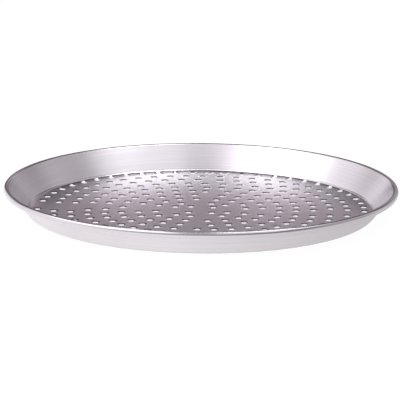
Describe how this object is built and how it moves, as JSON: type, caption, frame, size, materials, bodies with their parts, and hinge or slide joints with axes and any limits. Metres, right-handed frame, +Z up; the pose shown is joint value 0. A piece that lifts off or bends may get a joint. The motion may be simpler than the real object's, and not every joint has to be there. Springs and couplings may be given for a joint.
{
  "type": "pizza pan",
  "caption": "Round perforated aluminium pizza pan with a flat floor, a low flared wall and a hollow rolled rim.",
  "frame": {"origin": "centre of the pan's flat underside, on the surface it stands on", "axes": "+Z up along the pan's axis, out of its open side; the pan is round, so +X and +Y only fix where the fields of holes lie"},
  "size_m": [0.3659, 0.366, 0.0254],
  "materials": {
    "pan_sheet": "spun satin"
  },
  "bodies": {
    "root": {"perforated_floor": "pan_sheet", "flared_wall": "pan_sheet", "rolled_rim": "pan_sheet"}
  },
  "joints": []
}
